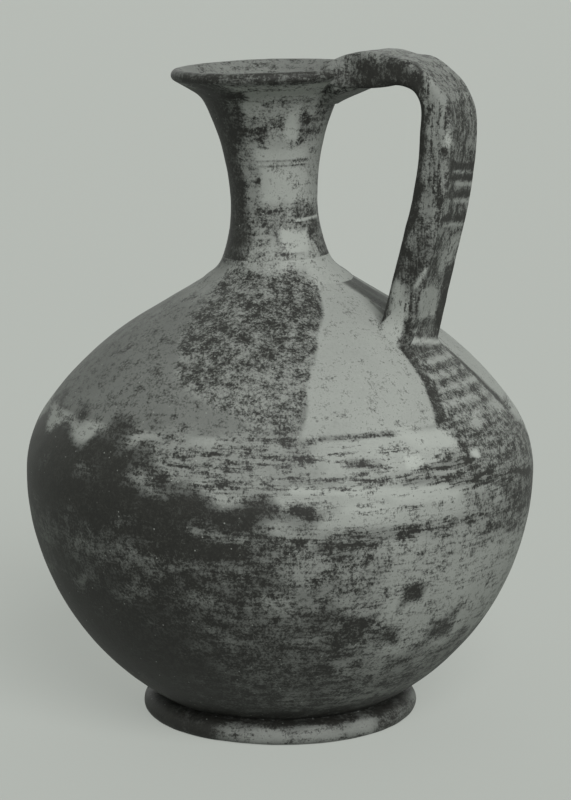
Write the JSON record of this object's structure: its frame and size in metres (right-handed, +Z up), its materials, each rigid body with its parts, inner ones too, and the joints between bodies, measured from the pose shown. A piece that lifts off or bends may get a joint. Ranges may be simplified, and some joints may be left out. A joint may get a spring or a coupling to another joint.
{
  "type": "oinochoe jug",
  "caption": "Round-bellied clay jug with a ring foot, a narrow flared neck set slightly askew and one strap handle from rim to shoulder, for pouring wine or water.",
  "frame": {"origin": "on the axis of the body, on the plane that the foot ring stands on", "axes": "+Z up along the axis of the body, +X towards the handle"},
  "size_m": [0.19, 0.19, 0.2501],
  "materials": {
    "foot_clay": "fired clay with worn dark slip paint, satin",
    "body_clay": "fired clay with worn dark slip paint, satin",
    "neck_clay": "fired clay with worn dark slip paint, satin",
    "handle_clay": "fired clay with worn dark slip paint, satin"
  },
  "bodies": {
    "root": {"foot_ring": "foot_clay", "lower_body": "body_clay", "upper_body": "body_clay", "neck": "neck_clay", "neck_luting_coil": "neck_clay", "handle": "handle_clay", "handle_root_luting": "handle_clay", "handle_top_luting": "handle_clay"}
  },
  "joints": []
}
